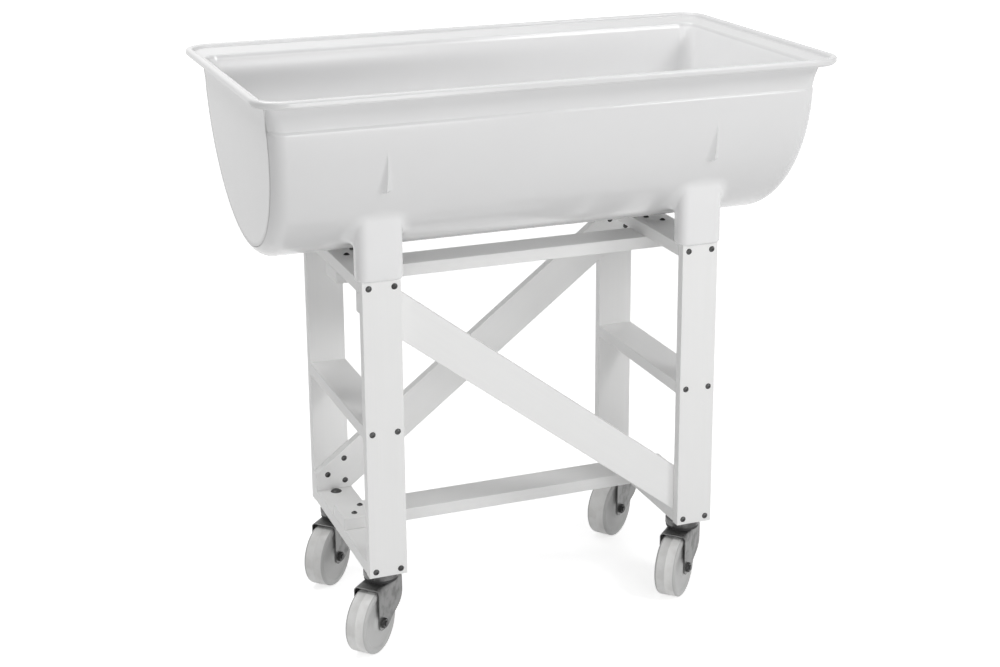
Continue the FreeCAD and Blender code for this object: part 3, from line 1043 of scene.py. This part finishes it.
    def rim_profile(self) -> List[Pair]:
        """Returns the rim's section from the flange's underside over its edge and the bead.

        Returns:
            Its points as (distance out from the rim's face, height).
        """
        lip, wide = -self.flange_inset, -self.bead_width
        under = self.top - self.flange_edge
        foot = self.top - self.bead_foot
        bead = arc(self.bead_rounding)
        return [
            (lip - self.edge_ease, self.flange_under),
            (lip, self.flange_under + self.edge_bevel),
            (lip, under - self.edge_nick),
            (lip + self.edge_lip, under),
            (-self.edge_bevel, under),
            (0.0, under + self.edge_ease),
            *[(-across, self.top - down) for across, down in bead],
            *[(wide + across, self.top - down) for down, across in bead],
            (wide, foot + self.edge_ease),
            (wide - self.edge_nick, foot + self.edge_nick),
            (wide - self.edge_nick - self.edge_bevel, foot),
        ]

    def rim_rings(self) -> List[Ring]:
        """Returns the rings from under the flange round its edge and over the bead to the mouth.

        Returns:
            The rings.
        """
        fillet = [(out, self.flange_under - down) for out, down in arc(self.under_fillet, QUARTER[2::2])]
        wall = self.radius + self.side_flare
        rings = self.flared(wall, self.top_end_rounding, self.half_length - self.end_flange, fillet)
        return rings + self.flared(self.half_width, self.rim_corner, self.half_length, self.rim_profile())

    def mouth_rings(self) -> List[Ring]:
        """Returns the rings of the rounding from the flange down into the basin.

        Returns:
            The rings.
        """
        edge = self.top - self.bead_foot - self.flange_fall
        mouth = [(out, edge - down) for down, out in arc(self.mouth_rounding)]
        wall = self.radius + self.side_flare - self.wall
        return self.flared(wall, self.inner_rounding, self.inner_end_at(self.flange_under), mouth)

    def shell(self, work: BMesh) -> List[List[BMVert]]:
        """Builds the whole wall as one closed skin, its inner face marked for the paler painted light.

        Args:
            work: The bmesh to build in.

        Returns:
            The vertices of each ring, from the outer bottom line on.
        """
        outer = self.low_rings(False) + self.band_rings(False) + self.rim_rings() + self.mouth_rings()
        band = [ring for ring in self.band_rings(True) if ring.height < outer[-1].height]
        rings = outer + list(reversed(self.low_rings(True) + band))
        sleeve = Sleeve.circle(work, self.ring_places(rings[0]))
        rows = [sleeve.line]
        for ring in rings[1:]:
            sleeve.advance(self.ring_places(ring))
            rows.append(sleeve.line)
        # Painted light: the inner face is marked for the paler tone.
        mark = work.verts.layers.float[PAINTED_LIGHT_MARK]
        for row in rows[len(outer):]:
            for vert in row:
                vert[mark] = 1.0
        return rows

    def add_boot(self, work: BMesh, rows: List[List[BMVert]], side: int, end: int) -> None:
        """Opens the skin under the trough and draws one boot out of it.

        Args:
            work: The bmesh of the trough.
            rows: The vertices of each ring.
            side: 1 on the right and -1 on the left.
            end: 1 at the back and -1 at the front.
        """
        count = len(self.columns) + 2
        first = 1 + (len(self.columns) - self.boot_steps - 1 if side > 0 else 0)
        columns = list(range(first, first + self.boot_steps + 1))
        if end > 0:
            half = len(rows[0]) // 2
            columns = [half + count - 1 - column for column in columns]
        low_row = len(self.floor_turns)
        high_row = low_row + self.boot_rows
        faces = []
        for row in range(low_row, high_row):
            for one, two in zip(columns, columns[1:]):
                corners = (rows[row][one], rows[row][two], rows[row + 1][two], rows[row + 1][one])
                faces.append(work.faces.get(corners))
        bmesh.ops.delete(work, geom=faces, context="FACES")
        line = [rows[low_row][column] for column in columns]
        line += [rows[row][columns[-1]] for row in range(low_row + 1, high_row)]
        line += [rows[high_row][column] for column in reversed(columns)]
        line += [rows[row][columns[0]] for row in range(high_row - 1, low_row, -1)]
        last = self.boot_turn + self.boot_turn_step * self.boot_rows
        low, high = (self.radius * math.sin(turn) for turn in turns(self.boot_turn, last))
        hole = Vector((side * self.boot_x, end * (low + high) / 2))
        reach = Vector((self.boot_opening, (high - low) / 2))
        Boot(side, end, self.radius, self.centre).draw(Sleeve(work, line), Plan(hole, reach))

    def build(self, material: Material) -> Object:
        """Builds the trough.

        Args:
            material: The trough's finish.

        Returns:
            The trough's object.
        """
        work = bmesh.new()
        work.verts.layers.float.new(PAINTED_LIGHT_MARK)
        rows = self.shell(work)
        for side in (-1, 1):
            for end in (-1, 1):
                self.add_boot(work, rows, side, end)
        bmesh.ops.remove_doubles(work, verts=work.verts, dist=MERGE_DISTANCE)
        bmesh.ops.dissolve_degenerate(work, edges=work.edges, dist=MERGE_DISTANCE)
        bmesh.ops.recalc_face_normals(work, faces=work.faces)
        shade_by_angle(work, self.crease_angle)
        return new_mesh_object("trough_shell", work, material)


@dataclass
class Castor:
    """One swivel castor: what turns about the king bolt is drawn trailing towards +X."""

    name: str
    pivot: Vector
    axle: Vector
    wheel_radius: float = 0.0625
    wheel_half_width: float = 0.022
    hub_half_width: float = 0.0235
    hub_radius: float = 0.015
    hub_bevel: float = 0.0012
    tread_rounding: float = 0.005
    parting_height: float = 0.00025
    parting_half: float = 0.0002
    parting_foot: float = 0.0006
    dish_outer: float = 0.052
    dish_inner: float = 0.022
    dish_depth: float = 0.003
    dish_bevel: float = 0.0015
    dish_ease: float = 0.0006
    dish_nick: float = 0.0004
    bore: float = 0.00855
    fork_half_width: float = 0.026
    fork_sheet: float = 0.003
    crown_height: float = 0.1315
    crown_rounding: float = 0.0065
    crown_front: float = 0.034
    crown_tail: float = 0.058
    crown_share: float = 0.35
    plate_line: Tuple[Pair, ...] = (
        (-0.0340, 0.0960), (-0.0325, 0.0890), (-0.0290, 0.0820), (-0.0240, 0.0760), (-0.0170, 0.0712),
        (-0.0080, 0.0668), (0.0010, 0.0625), (0.0100, 0.0572), (0.0180, 0.0518), (0.0260, 0.0480),
        (0.0340, 0.0470), (0.0460, 0.0470), (0.0520, 0.0480), (0.0560, 0.0515), (0.0580, 0.0570),
    )
    plate_shares: Tuple[float, ...] = (1.0, 0.85, 0.65, 0.45, 0.25, 0.1)
    wheel_steps: int = 96
    fork_steps: int = 46
    crease_angle: float = 35.0

    def __post_init__(self) -> None:
        """Works out the heading of the castor at rest."""
        away = self.axle - self.pivot
        self.heading = math.atan2(away.y, away.x)

    def turned(self, work: BMesh, place: Vector) -> None:
        """Turns a bmesh to the castor's heading and moves it to a place on it."""
        bmesh.ops.rotate(work, verts=work.verts, matrix=Matrix.Rotation(self.heading, 3, "Z"))
        bmesh.ops.translate(work, verts=work.verts, vec=place)

    def wheel_profile(self) -> List[Pair]:
        """Returns the wheel's outline on one side.

        Returns:
            Its points as (radius, distance from the wheel's middle).
        """
        half = self.wheel_half_width
        rim = self.wheel_radius - self.parting_height
        floor = half - self.dish_depth
        profile = [
            (self.bore, self.hub_half_width),
            (self.hub_radius, self.hub_half_width),
            (self.hub_radius + self.hub_bevel, self.hub_half_width - self.dish_nick),
            (self.dish_inner, floor + self.dish_nick),
            (self.dish_inner + self.dish_bevel, floor),
            (self.dish_outer - self.dish_bevel * 3, floor),
            (self.dish_outer - self.dish_bevel * 2, floor + self.dish_nick),
            (self.dish_outer - self.dish_ease, half - self.dish_nick),
            (self.dish_outer + self.dish_ease, half),
        ]
        profile += [(rim - inward, half - down) for down, inward in arc(self.tread_rounding)]
        return profile + [(rim, self.parting_foot), (self.wheel_radius, self.parting_half)]

    def build_wheel(self, material: Material) -> Object:
        """Builds the wheel, turned about its axle.

        Args:
            material: The wheel's finish.

        Returns:
            The wheel's object.
        """
        side = self.wheel_profile()
        work = bmesh.new()
        points = [work.verts.new((radius, out, 0.0)) for radius, out in side]
        points += [work.verts.new((radius, -out, 0.0)) for radius, out in reversed(side)]
        edges = [work.edges.new(pair) for pair in zip(points, points[1:] + points[:1])]
        bmesh.ops.spin(
            work,
            geom=points + edges,
            cent=(0.0, 0.0, 0.0),
            axis=(0.0, 1.0, 0.0),
            angle=2 * math.pi,
            steps=self.wheel_steps,
            use_merge=True,
        )
        bmesh.ops.remove_doubles(work, verts=work.verts, dist=MERGE_DISTANCE)
        bmesh.ops.recalc_face_normals(work, faces=work.faces)
        shade_by_angle(work, self.crease_angle)
        self.turned(work, self.axle)
        return new_mesh_object("wheel_" + self.name, work, material)

    def plate_foot(self, along: float) -> float:
        """Returns the lower edge of the fork's plates.

        Args:
            along: The distance behind the pivot.

        Returns:
            The height of the edge there.
        """
        for (one, low), (two, high) in zip(self.plate_line, self.plate_line[1:]):
            if along <= two:
                return low + (high - low) * max(0.0, along - one) / (two - one)
        return self.plate_line[-1][1]

    def fork_section(self) -> List[Tuple[float, float, float]]:
        """Returns the sheet's middle line across the fork.

        Returns:
            Its points as (across, height, share of the way down a plate).
        """
        half, top = self.fork_half_width, self.crown_height
        side = [(half, top - self.crown_rounding, share) for share in self.plate_shares]
        side += [(half - inward, top - down, 0.0) for inward, down in arc(self.crown_rounding)]
        side.append((half * self.crown_share, top, 0.0))
        return side + [(-out, height, share) for out, height, share in reversed(side)]

    def build_fork(self, material: Material) -> Object:
        """Builds the pressed fork: a bent sheet with a flat crown and two tapering plates.

        Args:
            material: The fork's finish.

        Returns:
            The fork's object.
        """
        work = bmesh.new()
        section = self.fork_section()
        rows = len(section) - 1
        bmesh.ops.create_grid(work, x_segments=self.fork_steps, y_segments=rows, size=1.0)
        for vert in work.verts:
            along = -self.crown_front + (vert.co.x + 1) / 2 * (self.crown_front + self.crown_tail)
            out, height, depth = section[round((vert.co.y + 1) / 2 * rows)]
            if depth > 0:
                height -= depth * (height - self.plate_foot(along))
            vert.co = Vector((along, out, height))
        bmesh.ops.recalc_face_normals(work, faces=work.faces)
        bmesh.ops.solidify(work, geom=work.faces[:], thickness=self.fork_sheet / 2)
        self.turned(work, Vector((self.pivot.x, self.pivot.y, 0.0)))
        return new_mesh_object("fork_" + self.name, work, material)

    def build(self, steel: Material, finishes: Dict[str, Material]) -> None:
        """Builds the wheel and the fork, and gives the castor's other pieces their finishes.

        Args:
            steel: The fork's finish.
            finishes: The finish of each other piece.
        """
        corner = self.name
        for piece, material in finishes.items():
            dress("castor_%s_%s" % (corner, piece), material)
        size = (self.wheel_radius, self.wheel_half_width)
        wheel = self.build_wheel(TurnedNylon("nylon_" + corner, tuple(self.axle), self.heading, *size).build())
        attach(wheel, "wheel_" + corner)
        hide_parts("castor_%s_wheel" % corner)
        fork = self.build_fork(steel)
        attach(fork, "fork_" + corner)
        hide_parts("castor_%s_fork" % corner)


@dataclass(frozen=True)
class Castors:
    """The four castors and their steels."""

    fork: Steel = Steel("pressed_steel", (0.25, 0.25, 0.248), (0.16, 0.16, 0.16))
    bolt: Steel = Steel("bolt_steel", (0.10, 0.10, 0.10), (0.05, 0.05, 0.05), stretch=1.0)
    cup: Steel = Steel("cup_steel", (0.16, 0.16, 0.16), (0.07, 0.07, 0.07), roughness=0.2)
    ball: Steel = Steel("ball_steel", (0.62, 0.62, 0.62), (0.5, 0.5, 0.5), roughness=0.12)

    @staticmethod
    def joint_place(name: str) -> Vector:
        """Returns the place of a joint at rest."""
        return Vector(next(joint["pos_m"] for joint in frame["joints"] if joint["name"] == name))

    def build(self) -> None:
        """Builds the castors."""
        steel, bolt, cup, ball = (part.build() for part in (self.fork, self.bolt, self.cup, self.ball))
        seal = SealRubber().build()
        finishes = {"king_bolt": bolt, "head": cup, "seal": seal, "balls": ball, "axle": bolt, "bush": bolt}
        for name in CORNERS:
            places = (self.joint_place(joint + name) for joint in ("swivel_", "roll_"))
            Castor(name, *places).build(steel, finishes)


@dataclass(frozen=True)
class Stand:
    """The bolted stand: its boards and screws keep their shapes and get their finishes."""

    screw: Steel = Steel("screw_steel", (0.10, 0.10, 0.10), (0.04, 0.04, 0.04), stretch=1.0)
    brace_cut: float = 0.075
    brace_drop: float = 0.04

    def brace_slope(self) -> float:
        """Returns how steeply the braces climb."""
        low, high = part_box("brace_front")
        return math.atan2(high.z - low.z - self.brace_drop, high.x - low.x - self.brace_cut)

    def build(self) -> None:
        """Gives the boards and screws their finishes."""
        slope = self.brace_slope()
        finishes = {
            "screws": self.screw,
            "brace_front": PlanedBoard(Axis.LENGTH, -slope),
            "brace_back": PlanedBoard(Axis.LENGTH, slope),
            "leg_": PlanedBoard(Axis.HEIGHT),
            "rung": PlanedBoard(Axis.DEPTH),
            "rail": PlanedBoard(Axis.LENGTH),
        }
        materials = {word: finish.build() for word, finish in finishes.items()}
        for node in frame["nodes"]:
            found = [word for word in materials if word in node]
            if found:
                dress(node, materials[found[0]])


@dataclass(frozen=True)
class Camera:
    """The viewpoint: its place, the way it looks in degrees, and its lens."""

    place: Tuple[float, float, float] = (-1.22754, -3.19829, 1.70647)
    yaw: float = 20.782
    pitch: float = 15.66
    roll: float = -0.375
    lens: float = 64.838
    sensor: float = 36.0
    shift_y: float = -0.1

    def build(self) -> None:
        """Builds the camera and looks through it."""
        yaw, pitch, roll = turns(self.yaw, self.pitch, self.roll)
        ahead = Vector((math.sin(yaw) * math.cos(pitch), math.cos(yaw) * math.cos(pitch), -math.sin(pitch)))
        right = Vector((math.cos(yaw), -math.sin(yaw), 0.0))
        up = right.cross(ahead)
        across = right * math.cos(roll) + up * math.sin(roll)
        upward = up * math.cos(roll) - right * math.sin(roll)
        lens = bpy.data.cameras.new("camera")
        lens.lens = self.lens
        lens.sensor_width = self.sensor
        lens.shift_y = self.shift_y
        made = bpy.data.objects.new("camera", lens)
        turn = Matrix((across, upward, -ahead)).transposed().to_4x4()
        made.matrix_world = Matrix.Translation(Vector(self.place)) @ turn
        bpy.context.scene.collection.objects.link(made)
        bpy.context.scene.camera = made


@dataclass(frozen=True)
class Softbox:
    """A square area light that looks at a point."""

    name: str
    place: Tuple[float, float, float]
    aim: Tuple[float, float, float]
    size: float
    power: float

    def build(self) -> None:
        """Builds the light."""
        light = bpy.data.lights.new(self.name, "AREA")
        light.shape = "SQUARE"
        light.size = self.size
        light.energy = self.power
        made = bpy.data.objects.new(self.name, light)
        made.location = self.place
        away = Vector(self.place) - Vector(self.aim)
        made.rotation_euler = away.to_track_quat("Z", "Y").to_euler()
        bpy.context.scene.collection.objects.link(made)


@dataclass(frozen=True)
class Studio:
    """A white studio: a pale floor that keeps the shadow, soft lights and a white surround."""

    floor_half: float = 30.0
    floor_cells: int = 8
    floor_colour: Colour = (0.86, 0.86, 0.86)
    floor_shade: float = 0.99
    grain_scale: float = 3.0
    floor_lift: float = 0.62
    far_lift: float = 0.92
    near_reach: float = 1.6
    far_reach: float = 6.0
    surround_light: float = 0.34
    white: Tuple[float, float, float, float] = (1.0, 1.0, 1.0, 1.0)
    lights: Tuple[Softbox, ...] = (
        Softbox("key_light", (1.5, -2.2, 2.45), (0.3, 0.0, 0.9), 0.8, 22.0),
        Softbox("front_light", (0.45, -3.7, 1.0), (0.1, 0.0, 0.6), 1.3, 24.0),
        Softbox("left_light", (-1.9, -3.5, 1.75), (-0.1, 0.0, 0.8), 0.7, 8.0),
        Softbox("top_light", (-1.0, 0.35, 3.3), (0.3, 0.0, 0.9), 1.5, 40.0),
    )

    @staticmethod
    def seen(graph: ShaderGraph) -> Wire:
        """Returns 1 for what the camera sees directly, in a reflection or through glass, and else 0."""
        rays = [graph.node("ShaderNodeLightPath", output="Is %s Ray" % kind) for kind in RAY_KINDS]
        return rays[0].highest(rays[1].highest(rays[2]))

    def build_floor(self) -> None:
        """Builds the floor, which lights up towards the horizon to the eye only."""
        graph = ShaderGraph.material("studio_floor")
        grain = graph.noise(graph.place(), self.grain_scale)
        tone = graph.blend(grain, self.floor_colour, shade(self.floor_colour, self.floor_shade))
        diffuse = graph.node("ShaderNodeBsdfDiffuse", {}, {"Color": tone})
        along, across, _ = graph.place().parts()
        away = ((along * along + across * across) ** 0.5).spread(self.near_reach, self.far_reach)
        strength = away * (self.far_lift - self.floor_lift) + self.floor_lift
        lift = graph.node("ShaderNodeEmission", {}, {"Color": self.white, "Strength": strength})
        lit = graph.node("ShaderNodeAddShader", {}, {0: diffuse, 1: lift})
        shown = graph.node("ShaderNodeMixShader", {}, {0: self.seen(graph), 1: diffuse, 2: lit})
        work = bmesh.new()
        cells = self.floor_cells
        bmesh.ops.create_grid(work, x_segments=cells, y_segments=cells, size=self.floor_half)
        made = new_mesh_object("floor", work, graph.finish(shown))

    def build_surround(self) -> None:
        """Builds the world: white to the eye and softer as a light."""
        world = bpy.data.worlds.new("surround")
        bpy.context.scene.world = world
        graph = ShaderGraph(world)
        strength = self.seen(graph) * (1.0 - self.surround_light) + self.surround_light
        shader = graph.node("ShaderNodeBackground", {}, {"Color": self.white, "Strength": strength})
        graph.finish(shader, "World")

    def build(self) -> None:
        """Builds the floor, the surround and the lights."""
        self.build_floor()
        self.build_surround()
        for light in self.lights:
            light.build()


def main() -> None:
    """Builds every sub-assembly in order."""
    logging.basicConfig(level=logging.INFO, format="%(message)s")
    bpy.context.scene.view_settings.view_transform = "Standard"
    Camera().build()
    Studio().build()
    basin = Trough(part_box("trough")[1])
    trough = basin.build(MouldedPlastic(basin.end_edge_shade()).build())
    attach(trough, "stand")
    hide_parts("trough")
    Stand().build()
    Castors().build()


if __name__ == "__main__":
    main()
